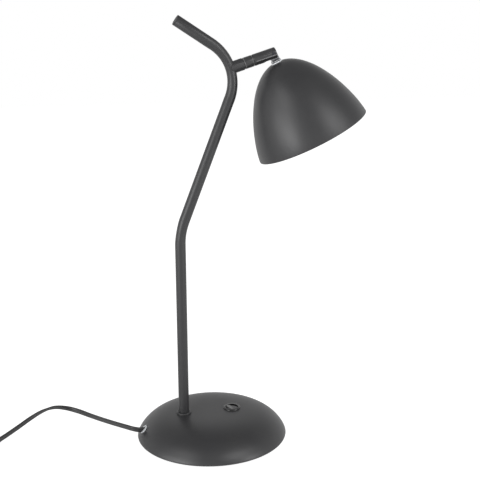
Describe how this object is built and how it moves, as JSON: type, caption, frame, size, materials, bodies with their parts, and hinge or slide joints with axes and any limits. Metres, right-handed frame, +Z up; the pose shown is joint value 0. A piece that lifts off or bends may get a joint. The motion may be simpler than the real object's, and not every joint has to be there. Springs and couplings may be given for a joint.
{
  "type": "desk lamp",
  "caption": "Desk lamp with a domed weighted base, a twice-bent tube stem and a bell shade on a swivel and tilt knuckle, with a flat cord and plug.",
  "frame": {"origin": "centre of the base's underside, on the table", "axes": "+Z up, +X towards the side the knuckle and shade point to, so the cord leaves at -X; the stem is bent in the XZ plane"},
  "size_m": [0.5377, 0.1832, 0.4822],
  "materials": {
    "lamp_black": "satin black paint",
    "knuckle_black": "semi-gloss black paint",
    "cast_weight": "raw casting",
    "plate_steel": "zinc plated",
    "fixings": "zinc plated",
    "dark_steel": "blackened",
    "brass_nipple": "plain turned brass",
    "contact_brass": "plain brass",
    "cap_nickel": "bright rolled sheet",
    "pin_nickel": "nickel plated",
    "pad_foam": "closed cell foam",
    "black_plastic": "moulded, glossy",
    "matt_plastic": "moulded, matt",
    "white_plastic": "moulded, plain",
    "clear_plastic": "translucent",
    "cord_black": "soft cable sheath",
    "lead_brown": "single core lead",
    "bulb_black": "black glass insulator",
    "opal_glass": "opal white"
  },
  "bodies": {
    "base": {"base_cover": "lamp_black", "base_weight": "cast_weight", "base_plate": "plate_steel", "base_pad": "pad_foam", "plate_screws": "fixings", "stem_tube": "lamp_black", "foot_collar": "lamp_black", "foot_nipple": "brass_nipple", "foot_washer": "fixings", "foot_nut": "fixings", "end_plug": "matt_plastic", "arm_stub": "lamp_black", "swivel_collar": "knuckle_black", "swivel_washer": "matt_plastic", "lamp_cable": "white_plastic", "switch_housing": "black_plastic", "switch_terminals": "contact_brass", "switch_leads": "lead_brown", "terminal_block": "white_plastic", "cord_bushing": "clear_plastic", "cord_clamp": "white_plastic", "clamp_screw": "fixings", "cord_tail": "cord_black", "mains_cord": "cord_black", "cord_coil": "cord_black", "plug_body": "matt_plastic", "plug_pins": "pin_nickel", "plug_sleeves": "matt_plastic"},
    "swivel_head": {"swivel_sleeve": "knuckle_black", "swivel_stop_screw": "dark_steel", "tilt_pin": "dark_steel", "tilt_washers": "fixings"},
    "shade_head": {"tilt_tongue": "fixings", "shade_washer": "clear_plastic", "shade": "lamp_black", "inner_washer": "fixings", "shade_nut": "fixings", "holder_cap": "matt_plastic", "holder_core": "white_plastic", "holder_body": "matt_plastic", "holder_contact": "contact_brass", "holder_shell": "contact_brass", "bulb_tip": "cap_nickel", "bulb_insulator": "bulb_black", "bulb_cap": "cap_nickel", "bulb_glass": "opal_glass"},
    "rocker": {"switch_rocker": "black_plastic"}
  },
  "joints": [
    {"name": "head_swivel", "type": "hinge", "parent": "base", "child": "swivel_head", "pos_m": [0.07257, 0, 0.44123], "axis": [0.9521, 0, 0.3057], "range_deg": [-160, 160]},
    {"name": "shade_tilt", "type": "hinge", "parent": "swivel_head", "child": "shade_head", "pos_m": [0.07257, 0, 0.44123], "axis": [0.0187, 0.9981, -0.0581], "range_deg": [-75, 20]},
    {"name": "switch_rock", "type": "hinge", "parent": "base", "child": "rocker", "pos_m": [0.024, 0, 0.02972], "axis": [0, 1, 0], "range_deg": [-20, 0]}
  ]
}
